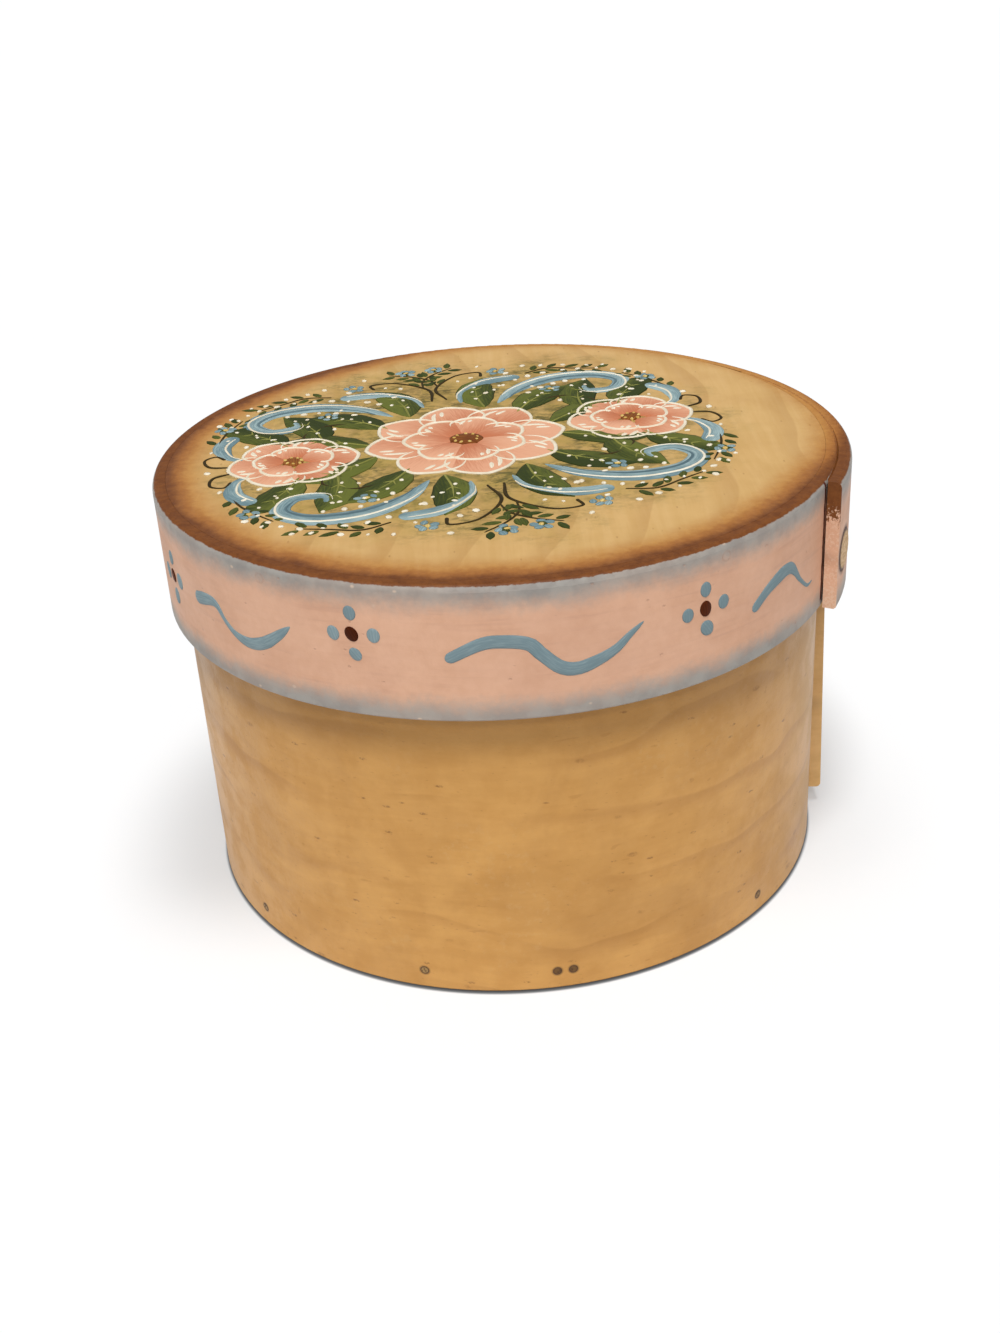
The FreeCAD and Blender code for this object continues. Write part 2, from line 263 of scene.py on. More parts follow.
def makeGrowthLines():
    # a flat-sawn board: edges of the year rings run front to back and lean over to one side
    group, place, takes, gives = startGroup("growthLines", {"Spacing": 17.0}, "Lines")
    parts = splitPlace(place)
    lean = times(parts["Y"], parts["Y"], 0.0022)
    across = plus(parts["X"], sway(place, 26.0, 0.011), lean)
    year = sawtooth(across, takes["Spacing"])
    feed(gives["Lines"], between(year, 0.62, 0.95, 0.97, 1.0))
    return group


def makeFlecks():
    # short dark marks, one near the middle of some cells of a stretched cell pattern
    group, place, takes, gives = startGroup(
        "flecks", {"Stretch": (0.12, 0.12, 0.4), "Size": 0.14, "Share": 0.5}, "Flecks")
    tilted = addNode(group, "Mapping", None, Vector=place, Rotation=(0.12, -0.1, 0.0)).outputs[0]
    drawn = stretched(tilted, takes["Stretch"])
    cells = addNode(group, "TexVoronoi", None, Vector=drawn, Scale=1.0, Randomness=1.0).outputs
    near = fade(calc("DIVIDE", cells["Distance"], takes["Size"]), 1.0, 0.45)
    lot = addNode(group, "SeparateColor", None, Color=cells["Color"]).outputs[0]
    feed(gives["Flecks"], times(near, calc("LESS_THAN", lot, takes["Share"])))
    return group


def fleckMarks(place, stretch, size, share):
    return useGroup(flecks, place, Stretch=stretch, Size=size, Share=share)["Flecks"]


def makePaintFilm():
    # a coat of paint: fine brush streaks, pits, and the rise and fall of the film
    group, place, takes, gives = startGroup("paintFilm", {"Stretch": (0.05, 0.05, 1.2)},
                                            "Streaks", "Pits", "Film")
    streaks = noise(stretched(place, takes["Stretch"]), 1.0, 4.0, 0.6)
    pits = fleckMarks(place, (0.26, 0.26, 0.34), 0.13, 0.4)
    film = weighed(streaks, 0.3, noise(place, 0.5, 3.0, 0.55))
    feedAll(gives, Streaks=streaks, Pits=pits, Film=minus(film, times(pits, 0.5)))
    return group


stainLook = {
    "dark": ((108, 58, 18), (127, 73, 27)), "amber": ((156, 97, 42), (172, 111, 50)),
    "honey": ((184, 126, 60), (196, 140, 71)), "toAmber": (3.4, 6.4), "toHoney": (5.6, 9.5),
    "toBare": (15.0, 7.0), "hairs": 1.6, "narrower": (10.0, 100.0, 0.0, 7.0),
}


def makeEdgeStain():
    # brown stain rubbed in from the outer edge: dark, amber, honey and gone, ragged all the way
    group, place, takes, gives = startGroup("edgeStain", {"Depth": 0.0, "Ragged": 2.0}, "Color", "Cover")
    parts = splitPlace(place)
    backRight = fade(plus(parts["X"], parts["Y"]), *stainLook["narrower"])
    ragged = sway(place, takes["Ragged"], 0.1, 3.0, 0.6)
    hairs = sway(place, stainLook["hairs"], 0.9, 2.0, 0.6)
    depth = plus(takes["Depth"], ragged, hairs, backRight)
    mottle = fade(noise(place, 0.5, 4.0, 0.65), 0.3, 0.7)
    dark, amber, honey = (blend(mottle, *stainLook[zone]) for zone in ("dark", "amber", "honey"))
    colour = blend(fade(depth, *stainLook["toAmber"]), dark, amber)
    feedAll(gives, Color=blend(fade(depth, *stainLook["toHoney"]), colour, honey),
            Cover=fade(depth, *stainLook["toBare"]))
    return group


def makeHandMarks():
    # what years of handling leave: soft smudges, rubbed spots in clusters and hair-thin scratches
    group, place, _, gives = startGroup("handMarks", {}, "Smudges", "Scuffs", "Scratches")
    clusters = fade(noise(moved(place, (57, 11, 83)), 0.04, 2.0, 0.5), 0.5, 0.66)
    rubbed = fade(noise(place, 0.5, 4.0, 0.7), 0.52, 0.66)
    slanted = addNode(group, "Mapping", None, Vector=place, Rotation=(0.3, 0.5, 0.9),
                      Scale=(0.03, 0.9, 0.9)).outputs[0]
    feedAll(gives, Smudges=fade(noise(place, 0.035, 4.0, 0.6, 0.8), 0.42, 0.68),
            Scuffs=times(clusters, rubbed),
            Scratches=fade(noise(slanted, 1.0, 0.0), 0.78, 0.83))
    return group


def makeAwayFromPin():
    # distance from a pin's axis on the pin's own side, for the dark ring that soaks into the wood round it
    group, place, takes, gives = startGroup(
        "awayFromPin", {"Centre": (0, 0, 0), "Axis": (1, 0, 0)}, "Distance")
    offset = calc("SUBTRACT", place, takes["Centre"], kind="VectorMath")
    beside = lengthOf(calc("CROSS_PRODUCT", offset, takes["Axis"], kind="VectorMath"))
    outward = calc("DOT_PRODUCT", offset, takes["Axis"], kind="VectorMath", result=1)
    farSide = calc("LESS_THAN", outward, -40.0)
    feed(gives["Distance"], plus(times(farSide, 100.0), beside))
    return group


hoopPlace = makeHoopPlace()
woodFibre = makeWoodFibre()
growthLines = makeGrowthLines()
flecks = makeFlecks()
paintFilm = makePaintFilm()
edgeStain = makeEdgeStain()
handMarks = makeHandMarks()
awayFromPin = makeAwayFromPin()
print("shared effects built:", len(bpy.data.node_groups))


# Pins: where each one's head is, and which way it points

pegRadius = 5.3
bradRadius = 1.1


def compass(turn):
    # a step of length 1 in the direction of a turn in radians
    return np.array([math.cos(turn), math.sin(turn)])


def pinAxis(azimuth, height, radius):
    x, y = compass(math.radians(azimuth))
    return (radius * x, radius * y, height), (x, y, 0.0)


def pegAxis(part):
    x, y, z = np.mean(boxOf(part), axis=0)
    return pinAxis(math.degrees(math.atan2(y, x)), z, math.hypot(x, y))


def bradAxes(part):
    # azimuth of each brad: the outermost corners, split wherever the next one is half a degree on
    azimuth, radius, height = wallPoints(part)
    outer = np.sort(azimuth[radius > radius.max() - 0.1])
    heads = np.split(outer, np.flatnonzero(np.diff(outer) > 0.5) + 1)
    return [pinAxis(head.mean(), height.mean(), radius.max()) for head in heads]


def nearestPin(place, pins):
    # distance to the nearest one of some pins
    nearest = None
    for centre, axis in pins:
        away = useGroup(awayFromPin, place, Centre=centre, Axis=axis)["Distance"]
        nearest = away if nearest is None else calc("MINIMUM", nearest, away)
    return nearest


bottomPins, lidPins = bradAxes("bottom_brads"), bradAxes("lid_brads")
upperPeg, lowerPeg, lidPeg = (
    pegAxis(part) for part in ("body_lap_peg_upper", "body_lap_peg_lower", "lid_lap_peg"))

# Body hoop: honey varnish outside, drier wood inside, with the lid's shadow and a contact shade at the
# bottom painted into the colour. A colour with a number is a layer with its strength, four numbers are a
# fade's start, end, low and high, heights by the lid count from the lid's lower edge.

bodyLook = {
    "wood": ((212, 158, 84), (198, 144, 73)), "inside": ((206, 170, 122), (188, 150, 104)),
    "tongue": ((226, 184, 122), (204, 160, 98)), "patch": ((186, 133, 62), 0.42),
    "figure": ((168, 114, 50), 0.36), "figureSpacing": 17.0, "figureWave": 44.0,
    "fleck": ((126, 80, 32), 0.7), "knot": ((150, 100, 42), 1.0), "smudge": ((160, 110, 50), 0.22),
    "scratch": ((168, 114, 50), 0.3), "worn": (208, 172, 120), "scuffs": 0.18, "lapWear": 0.3,
    "lapWearReach": (-42, -14, 60, 90), "lidShadowTone": (140, 96, 34), "lidShadowCore": (-14.7, -7.7, 0.0, 0.22),
    "lidShadowHalo": (-29.7, -11.7, 0.0, 0.16), "soaked": ((112, 74, 34), 0.6), "foot": ((46, 28, 12), 0.95),
    "roughness": (0.4, 0.55), "dryRoughness": 0.75, "coat": 0.12,
}


def bodyFigure(place, height, drift):
    # edges of the year rings on a bent strip: level lines that wave slowly, and come and go with the drift
    raised = plus(height, sway(place, bodyLook["figureWave"], 0.012, 2.5))
    year = sawtooth(raised, bodyLook["figureSpacing"])
    return times(between(year, 0.7, 0.95, 0.96, 1.0), fade(drift, 0.44, 0.6))


def bodyWood(place, hoop, grain, mixed):
    # the wood before years of use: clouds and lines, darker patches, figure, pores and knots
    colour = blend(mixed, *bodyLook["wood"])
    patch = noise(stretched(place, (0.02, 0.02, 0.05)), 1.0, 4.0, 0.55, 0.7)
    colour = lay(colour, fade(patch, 0.5, 0.7), bodyLook["patch"])
    colour = lay(colour, bodyFigure(place, hoop["Height"], grain["Drift"]), bodyLook["figure"])
    broken = fade(noise(place, 1.4, 3.0, 0.7), 0.4, 0.6)
    short = fleckMarks(place, (0.12, 0.12, 0.34), 0.15, 0.5)
    fine = fleckMarks(place, (0.4, 0.4, 1.1), 0.2, 0.5)
    pores = times(larger(short, times(fine, 0.4)), broken)
    colour = lay(colour, pores, bodyLook["fleck"])
    knots = fleckMarks(place, (0.045, 0.045, 0.1), 0.085, 0.85)
    knots = times(knots, calc("MULTIPLY_ADD", broken, 0.5, 0.25))
    return lay(colour, knots, bodyLook["knot"]), pores


def varnishedBody():
    material, tree, skin = startMaterial("honeyVarnish")
    place = millimetres(tree)
    hoop = useGroup(hoopPlace, place)
    grain = useGroup(woodFibre, place, Stretch=(0.05, 0.05, 0.35), Wander=9.0)
    marks = useGroup(handMarks, place)
    lines = fade(grain["Lines"], 0.34, 0.68)
    mottle = fade(noise(place, 0.09, 5.0, 0.62), 0.33, 0.67)
    mixed = weighed(lines, 0.35, mottle)
    colour, pores = bodyWood(place, hoop, grain, mixed)
    colour = lay(colour, marks["Smudges"], bodyLook["smudge"])
    besideLap = between(minus(hoop["Azimuth"], tongueEnd), *bodyLook["lapWearReach"])
    besideLap = times(besideLap, fade(mottle, 0.2, 0.8), bodyLook["lapWear"])
    worn = larger(times(marks["Scuffs"], bodyLook["scuffs"]), besideLap)
    colour = blend(worn, colour, bodyLook["worn"])
    colour = lay(colour, marks["Scratches"], bodyLook["scratch"])
    # painted shadow of the lid: the wall is darkened in a band below the lid's lower edge, most just under
    # it
    fromLid = plus(hoop["Height"], sway(place, 9.0, 0.06, 3.0), -rimFoot)
    shaded = plus(fade(fromLid, *bodyLook["lidShadowCore"]), fade(fromLid, *bodyLook["lidShadowHalo"]))
    colour = blend(shaded, colour, bodyLook["lidShadowTone"])
    proud = fade(hoop["Radius"], bodyRadius + 0.15, bodyRadius + 0.5)
    sawn = fade(apart(hoop["Azimuth"], tongueEnd), 0.5, 0.2, 0.15, 1.0)
    colour = blend(times(proud, sawn), colour, blend(mixed, *bodyLook["tongue"]))
    inner = fade(hoop["Radius"], bodyBore + 1.6, bodyBore + 0.6)
    colour = blend(inner, colour, blend(lines, *bodyLook["inside"]))
    soaked = larger(fade(nearestPin(place, bottomPins), bradRadius + 0.5, bradRadius),
                    fade(nearestPin(place, [upperPeg, lowerPeg]), pegRadius + 1.5, pegRadius))
    colour = lay(colour, soaked, bodyLook["soaked"])
    # painted contact shade: the lowest millimetre of the wall darkened where it stands on the floor
    colour = lay(colour, fade(hoop["Height"], 1.1, 0.5), bodyLook["foot"])
    rough = fade(larger(mottle, marks["Scuffs"]), 0.2, 0.9, *bodyLook["roughness"])
    rise = weighed(noise(place, 0.7, 4.0, 0.65), 0.7, grain["Lines"])
    feedAll(skin, Base_Color=colour, Coat_Roughness=0.25, Specular_IOR_Level=0.35,
            Roughness=larger(rough, times(inner, bodyLook["dryRoughness"])),
            Coat_Weight=times(minus(1.0, inner), bodyLook["coat"]),
            Normal=relief(minus(rise, times(pores, 0.4)), 0.14))
    return material


# Bottom board: plain sawn wood

bottomLook = {
    "wood": ((206, 168, 118), (180, 138, 88)), "year": ((160, 116, 70), 0.5), "yearSpacing": 14.0,
    "smudge": ((140, 104, 66), 0.25), "pore": ((126, 86, 50), 0.6),
}


def plainBoard():
    material, tree, skin = startMaterial("plainBoardWood")
    place = millimetres(tree)
    grain = useGroup(woodFibre, place, Stretch=(0.7, 0.03, 0.7), Wander=5.0)
    years = useGroup(growthLines, place, Spacing=bottomLook["yearSpacing"])["Lines"]
    colour = blend(fade(grain["Lines"], 0.32, 0.68), *bottomLook["wood"])
    colour = lay(colour, years, bottomLook["year"])
    colour = lay(colour, useGroup(handMarks, place)["Smudges"], bottomLook["smudge"])
    colour = lay(colour, grain["Pores"], bottomLook["pore"])
    feedAll(skin, Base_Color=colour, Roughness=fade(grain["Lines"], 0.3, 0.7, 0.55, 0.72),
            Normal=relief(grain["Lines"], 0.14))
    return material


# Lid board: tan wood under varnish, brown stain from the edge, olive wash behind the flowers

lidLook = {
    "wood": ((221, 180, 117), (209, 167, 103)), "year": ((188, 143, 82), 0.45), "yearSpacing": 19.0,
    "fleck": ((150, 106, 54), 0.4), "wash": ((178, 150, 76), (122, 108, 42)), "moss": ((70, 72, 26), 0.9),
    "washCentre": (-8, 5, 0), "washRadius": 64.0, "smudge": ((178, 128, 70), 0.16),
    "stainRagged": 4.0, "roughness": (0.42, 0.55), "coat": 0.1,
}


def washCover(place):
    # 1 near the wash's middle and 0 past its radius, with a ragged and cloudy edge
    offset = calc("SUBTRACT", place, lidLook["washCentre"], kind="VectorMath")
    share = 1 / lidLook["washRadius"]
    reach = plus(lengthOf(stretched(offset, (share, share, 0.0))),
                 sway(place, 0.8, 0.055, 4.0, 0.65))
    cloud = fade(noise(place, 0.13, 4.0, 0.65), 0.34, 0.62)
    return times(fade(reach, 1.15, 0.6), calc("MULTIPLY_ADD", cloud, 0.45, 0.55))


def paintedBoard():
    material, tree, skin = startMaterial("stainedLidWood")
    place = millimetres(tree)
    hoop = useGroup(hoopPlace, place)
    grain = useGroup(woodFibre, place, Stretch=(0.4, 0.022, 0.4), Wander=6.0)["Lines"]
    years = useGroup(growthLines, place, Spacing=lidLook["yearSpacing"])["Lines"]
    mottle = fade(noise(place, 0.09, 4.0, 0.6), 0.34, 0.66)
    colour = blend(weighed(fade(grain, 0.32, 0.7), 0.6, mottle), *lidLook["wood"])
    colour = lay(colour, years, lidLook["year"])
    pores = fleckMarks(place, (0.5, 0.16, 0.5), 0.15, 0.45)
    colour = lay(colour, pores, lidLook["fleck"])
    top = fade(hoop["Height"], boardTop - 2.0, boardTop - 1.0)
    wash = times(washCover(place), top)
    dabs = times(fade(noise(place, 0.16, 4.0, 0.7), 0.46, 0.62), 0.75)
    colour = blend(wash, colour, blend(dabs, *lidLook["wash"]))
    sponged = fade(noise(stretched(place, (0.5, 1.0, 1.0)), 0.6, 4.0, 0.8), 0.45, 0.58)
    clumps = fade(noise(moved(place, (13, 71, 5)), 0.07, 2.0, 0.5), 0.44, 0.56)
    colour = lay(colour, times(sponged, clumps, wash), lidLook["moss"])
    colour = lay(colour, useGroup(handMarks, place)["Smudges"], lidLook["smudge"])
    stain = useGroup(edgeStain, place, Depth=minus(rimRadius, hoop["Radius"]),
                     Ragged=lidLook["stainRagged"])
    colour = blend(times(stain["Cover"], top), colour, stain["Color"])
    feedAll(skin, Base_Color=colour, Coat_Roughness=0.3, Specular_IOR_Level=0.25,
            Roughness=fade(grain, 0.3, 0.7, *lidLook["roughness"]),
            Coat_Weight=times(top, lidLook["coat"]),
            Normal=relief(minus(grain, times(pores, 0.5)), 0.07))
    return material


# Lid hoop: pink paint, soft blue-grey borders, brown stain over the top edge, bare wood inside

rimLook = {
    "pink": ((223, 176, 146), (212, 163, 132)), "smudge": ((196, 150, 126), 0.2),
    "showingGrain": (0.2, 0.9, 0.12, 0.42), "pit": ((172, 128, 104), 0.35),
    "bradRingShade": ((172, 128, 104), 0.15),
    "border": ((145, 152, 150), (128, 136, 136)), "upperReach": (1.2, 8.0), "lowerReach": (1.3, 7.2),
    "borderCover": (0.756, 0.84), "chip": ((226, 198, 172), 0.55), "creviceShade": (84, 30, 16),
    "worn": ((228, 196, 168), 0.55), "stainLine": (0.57, 0.33), "endStain": (9.1, 7.9),
    "bare": ((196, 154, 106), (176, 132, 86)), "pegRing": ((96, 58, 40), 0.7), "roughness": (0.5, 0.62),
}


def softBorder(place, distance, reach):
    # paint brushed on softly from an edge: solid close to it, gone at the second distance, cloudy between
    clouds = sway(place, 4.0, 0.1, 3.0, 0.55)
    grains = sway(place, 2.2, 0.8, 3.0, 0.65)
    return fade(plus(distance, clouds, grains), reach[1], reach[0])


def rimCoat(place, film, grain, fromFoot, fromTop, endFace):
    # pink paint with the grain showing through, pits, the two borders, and chips along them
    cloud = fade(noise(place, 0.07, 3.0, 0.55), 0.35, 0.65)
    mixed = plus(times(fade(film["Film"], 0.35, 0.66), 0.35), times(cloud, 0.6))
    colour = blend(mixed, *rimLook["pink"])
    colour = lay(colour, useGroup(handMarks, place)["Smudges"], rimLook["smudge"])
    showing = times(fade(grain, 0.5, 0.7), fade(cloud, *rimLook["showingGrain"]))
    colour = blend(showing, colour, rimLook["smudge"][0])
    border = fade(noise(place, 0.2, 3.0, 0.6), 0.35, 0.65)
    edges = larger(softBorder(place, fromFoot, rimLook["lowerReach"]),
                   softBorder(moved(place, (40, 9, 23)), fromTop, rimLook["upperReach"]))
    cover = fade(noise(place, 0.03, 2.0, 0.5), 0.35, 0.65, *rimLook["borderCover"])
    covered = larger(times(edges, minus(cover, endFace)), 0.0)
    colour = blend(covered, colour, blend(border, *rimLook["border"]))
    colour = lay(colour, film["Pits"], rimLook["pit"])
    chips = fleckMarks(moved(place, (5, 7, 3)), (0.22, 0.22, 0.3), 0.16, 0.42)
    return lay(colour, times(chips, edges), rimLook["chip"])


def paintedRim():
    material, tree, skin = startMaterial("pinkRimPaint")
    place = millimetres(tree)
    hoop = useGroup(hoopPlace, place)
    film = useGroup(paintFilm, place, Stretch=(0.08, 0.08, 0.5))
    grain = useGroup(woodFibre, place, Stretch=(0.03, 0.03, 0.7), Wander=4.0)["Lines"]
    fromFoot, fromTop = minus(hoop["Height"], rimFoot), minus(rimTop, hoop["Height"])
    endFace = times(fade(apart(hoop["Azimuth"], lapEnd), 0.4, 0.15),
                    fade(hoop["Radius"], rimRadius + 0.2, rimRadius + 0.5))
    colour = rimCoat(place, film, grain, fromFoot, fromTop, endFace)
    # painted shade in the crevice in front of the lap's end, and the crumbled paint and stain on that end
    ragged = sway(place, 0.7, 0.45, 4.0, 0.65)
    before = plus(minus(lapEnd, hoop["Azimuth"]), times(ragged, 1.1))
    creviceShade = times(between(before, -0.5, -0.25, 0.22, 0.42),
                    fade(hoop["Radius"], rimRadius + 0.35, rimRadius + 0.15),
                    fade(calc("MULTIPLY_ADD", ragged, 3.0, fromFoot), 1.2, 2.0))
    colour = blend(creviceShade, colour, rimLook["creviceShade"])
    grit = sway(place, 1.0, 1.5, 3.0, 0.7)
    worn = fade(plus(grit, fade(fromFoot, 3.5, 1.5, 0.0, 0.08)), 0.0, 0.09)
    colour = lay(colour, times(endFace, worn), rimLook["worn"])
    reached = plus(fromTop, times(ragged, 6.0), times(grit, 16.0))
    crumbled = fade(reached, *rimLook["endStain"])
    overEdge = fade(plus(fromTop, ragged), *rimLook["stainLine"])
    depth = minus(rimRadius, hoop["Radius"])
    stain = useGroup(edgeStain, place, Depth=depth, Ragged=1.0)["Color"]
    colour = blend(larger(overEdge, times(endFace, crumbled)), colour, stain)
    inner = fade(hoop["Radius"], rimBore + 1.9, rimBore + 1.3)
    bare = times(inner, fade(fromTop, 2.0, 4.0))
    colour = blend(bare, colour, blend(fade(grain, 0.3, 0.7), *rimLook["bare"]))
    pegRing = fade(nearestPin(place, [lidPeg]), pegRadius + 1.4, pegRadius - 0.1)
    colour = lay(colour, pegRing, rimLook["pegRing"])
    # painted shade: a faint darker ring round the edge of each brad head under the paint
    bradRingShade = between(nearestPin(place, lidPins), 0.75, 1.05, 1.15, 1.5)
    colour = lay(colour, bradRingShade, rimLook["bradRingShade"])
    feedAll(skin, Base_Color=colour, Specular_IOR_Level=0.3, Normal=relief(film["Film"], 0.16),
            Roughness=fade(film["Streaks"], 0.3, 0.7, *rimLook["roughness"]))
    return material


def stainedGlue():
    material, tree, skin = startMaterial("stainedSeamGlue")
    place = millimetres(tree)
    lumps = noise(place, 0.9, 4.0, 0.65)
    feedAll(skin, Base_Color=useGroup(edgeStain, place, Depth=0.0, Ragged=1.0)["Color"],
            Roughness=fade(lumps, 0.3, 0.7, 0.45, 0.65), Normal=relief(lumps, 0.15),
            Specular_IOR_Level=0.3)
    return material


# Pegs: end grain with a dark rim

pegLook = {"wood": ((226, 190, 138), (188, 144, 94)), "ring": ((188, 144, 94), 0.35), "rim": (78, 46, 28)}


def pegWood(name, axis):
    material, tree, skin = startMaterial(name)
    place = millimetres(tree)
    away = nearestPin(place, [axis])
    grain = noise(stretched(place, (0.5, 0.5, 1.0)), 1.6, 4.0, 0.7)
    rings = sawtooth(plus(away, grain), 1.4)
    colour = blend(fade(grain, 0.35, 0.65), *pegLook["wood"])
    colour = lay(colour, fade(rings, 0.6, 0.95), pegLook["ring"])
    colour = blend(fade(away, pegRadius - 1.3, pegRadius - 0.5), colour, pegLook["rim"])
    feedAll(skin, Base_Color=colour, Roughness=fade(grain, 0.3, 0.7, 0.5, 0.7),
            Normal=relief(grain, 0.12))
    return material


# Brads: dull steel under old varnish, gone brown at the rim

bradLook = {"head": ((108, 74, 28), (166, 132, 80)), "rust": (82, 52, 20), "metallic": 0.2}


def bradSteel(name, pins):
    material, tree, skin = startMaterial(name)
    place = millimetres(tree)
    spots = noise(place, 1.4, 4.0, 0.65)
    each = fade(noise(moved(place, (3, 19, 7)), 0.11, 0.0), 0.42, 0.58)
    away = plus(nearestPin(place, pins), times(spots, 0.4))
    rust = larger(fade(spots, 0.5, 0.62), fade(away, bradRadius - 0.3, bradRadius + 0.1))
    head = blend(each, *bradLook["head"])
    feedAll(skin, Base_Color=blend(rust, head, bradLook["rust"]),
            Metallic=times(minus(1.0, rust), bradLook["metallic"]),
            Roughness=fade(spots, 0.3, 0.7, 0.45, 0.75), Normal=relief(spots, 0.14))
    return material


rimPaint = paintedRim()
finishes = {
    "body_band": varnishedBody(),
    "bottom_board": plainBoard(),
    "lid_board": paintedBoard(),
    "lid_band": rimPaint,
    "body_lap_peg_upper": pegWood("pegWoodUpper", upperPeg),
    "body_lap_peg_lower": pegWood("pegWoodLower", lowerPeg),
    "lid_lap_peg": pegWood("pegWoodLid", lidPeg),
    "bottom_brads": bradSteel("brownedBradSteel", bottomPins),
    "lid_brads": rimPaint,    # the rim was painted after its brads went in
}
for part, finish in finishes.items():
    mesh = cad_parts[part].data
    mesh.materials.clear()
    mesh.materials.append(finish)
print("finishes on the frame's parts:", len(finishes))


# Brushwork: thin raised paint, worked out flat and then laid on the wood

def leftOf(heading):
    # a heading turned a quarter to its left
    return np.stack([-heading[..., 1], heading[..., 0]], axis=-1)


def smoothPath(points, count=120):
    # a cubic between each two points, leaving each one in the direction of its two neighbours
    points = np.asarray(points, float)
    ends = np.vstack([2 * points[0] - points[1], points, 2 * points[-1] - points[-2]])
    place = np.linspace(0, len(points) - 1, count)
    span = np.minimum(place.astype(int), len(points) - 2)
    t = (place - span)[:, None]
    a, b, c, d = ends[span], ends[span + 1], ends[span + 2], ends[span + 3]
    curve = (2 * a - 5 * b + 4 * c - d) * t ** 2 + (3 * b - a - 3 * c + d) * t ** 3
    return 0.5 * (2 * b + (c - a) * t + curve)


def dab(points, halfWidths, head, tail, crown=0.2, shade=0.5, rings=25):
    # Rings stand on the path at L (1 - cos u) / 2, so they crowd at both ends. The half width is read
    # from a few values spread evenly along it, and over the lengths head and tail it closes in as
    # a quarter of an ellipse, sqrt(1 - (1 - s / head)^2).
    path = smoothPath(points)
    run = np.concatenate([[0], np.cumsum(np.hypot(*np.diff(path, axis=0).T))])
    s = run[-1] * (1 - np.cos(np.linspace(0, np.pi, rings))) / 2
    centre, heading = (np.stack([np.interp(s, run, line[:, 0]), np.interp(s, run, line[:, 1])], axis=1)
                       for line in (path, np.gradient(path, run, axis=0)))
    heading /= np.linalg.norm(heading, axis=1, keepdims=True)
    width = np.interp(s / run[-1], np.linspace(0, 1, len(halfWidths)), halfWidths)
    for gap, length in ((s, head), (run[-1] - s, tail)):
        width = width * np.sqrt(np.clip(1 - (1 - np.clip(gap / length, 0, 1)) ** 2, 0, 1))
    return {"centre": centre, "side": leftOf(heading), "width": width, "s": s,
            "crown": crown, "shade": shade}


def spot(centre, radius, squash=1.0, turn=0.0, crown=0.2, shade=0.5):
    # a dab of the brush's tip: a round or slightly long drop
    reach = radius * compass(turn)
    points = [centre - reach, centre, centre + reach]
    return dab(points, [radius * squash] * 2, radius, radius, crown, shade, 13)


def lapRadius(azimuth):
    # outer face of the rim, read off the frame's own corners, so paint follows the lap
    return np.interp(azimuth, outlineAzimuths, outlineRadii, period=360)


def ontoRim(flat, lift):
    # the plane rolled round the hoop: x is the arc at the rim's radius, y the height, lift points outwards
    turn = flat[..., 0] / rimRadius
    radius = lapRadius(np.degrees(turn)) + lift
    return np.stack([radius * np.cos(turn), radius * np.sin(turn), flat[..., 1]], axis=-1)


def ontoTop(flat, lift):
    # the plane laid flat on top of the lid board, lift points up
    return np.stack([flat[..., 0], flat[..., 1], boardTop + lift], axis=-1)


# the rim's outline is the farthest corner in each degree of azimuth
azimuths, radii, _ = wallPoints("lid_band")
outerWall = radii > rimRadius - 0.02
wholeDegrees = np.round(azimuths[outerWall])
outlineAzimuths = np.unique(wholeDegrees)
outlineRadii = np.array([radii[outerWall][wholeDegrees == azimuth].max() for azimuth in outlineAzimuths])


